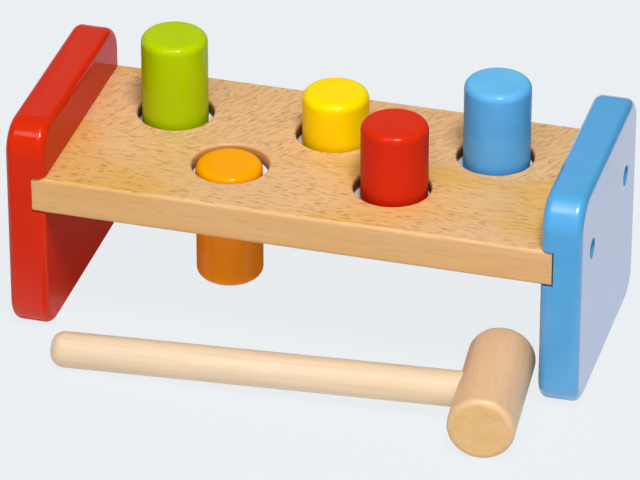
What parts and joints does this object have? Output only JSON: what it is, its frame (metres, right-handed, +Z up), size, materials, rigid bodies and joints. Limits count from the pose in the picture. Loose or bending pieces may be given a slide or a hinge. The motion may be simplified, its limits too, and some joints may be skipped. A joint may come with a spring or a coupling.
{
  "type": "peg pounding bench",
  "caption": "Wooden peg pounding bench: a beech board between two lacquered end panels, with coloured pegs that are knocked through gripping holes, and a small wooden mallet.",
  "frame": {"origin": "on the table, under the middle of the footprint of the bench and the mallet together", "axes": "+X along the bench from the red panel to the blue one, +Y to the back, +Z up"},
  "size_m": [0.2174, 0.1322, 0.0992],
  "materials": {
    "beech_board": "clear satin varnish on beech",
    "red_lacquer": "gloss lacquer on wood",
    "blue_lacquer": "gloss lacquer on wood",
    "green_lacquer": "gloss lacquer on wood",
    "orange_lacquer": "gloss lacquer on wood",
    "yellow_lacquer": "gloss lacquer on wood",
    "white_rubber": "soft white rubber",
    "zinc_steel": "zinc-plated steel",
    "mallet_head_wood": "clear varnish on beech",
    "mallet_handle_wood": "clear varnish on a pale wood"
  },
  "bodies": {
    "bench": {"bench_board": "beech_board", "red_end_panel": "red_lacquer", "blue_end_panel": "blue_lacquer", "red_front_screw": "zinc_steel", "red_rear_screw": "zinc_steel", "blue_front_screw": "zinc_steel", "blue_rear_screw": "zinc_steel", "green_grip_ring": "white_rubber", "orange_grip_ring": "white_rubber", "yellow_grip_ring": "white_rubber", "red_grip_ring": "white_rubber", "blue_grip_ring": "white_rubber"},
    "green_peg": {"green_peg": "green_lacquer"},
    "orange_peg": {"orange_peg": "orange_lacquer"},
    "yellow_peg": {"yellow_peg": "yellow_lacquer"},
    "red_peg": {"red_peg": "red_lacquer"},
    "blue_peg": {"blue_peg": "blue_lacquer"},
    "mallet": {"mallet_head": "mallet_head_wood", "mallet_handle": "mallet_handle_wood"}
  },
  "joints": [
    {"name": "green_peg_slide", "type": "slide", "parent": "bench", "child": "green_peg", "axis": [0, 0, 1], "range_m": [-0.0326, 0.0002]},
    {"name": "orange_peg_slide", "type": "slide", "parent": "bench", "child": "orange_peg", "axis": [0, 0, 1], "range_m": [-0.0004, 0.0324]},
    {"name": "yellow_peg_slide", "type": "slide", "parent": "bench", "child": "yellow_peg", "axis": [0, 0, 1], "range_m": [-0.018, 0.0148]},
    {"name": "red_peg_slide", "type": "slide", "parent": "bench", "child": "red_peg", "axis": [0, 0, 1], "range_m": [-0.0271, 0.0057]},
    {"name": "blue_peg_slide", "type": "slide", "parent": "bench", "child": "blue_peg", "axis": [0, 0, 1], "range_m": [-0.0315, 0.0013]},
    {"name": "mallet_lift", "type": "slide", "parent": "bench", "child": "mallet", "axis": [0, -0.6, 0.8], "range_m": [0, 0.14]}
  ]
}
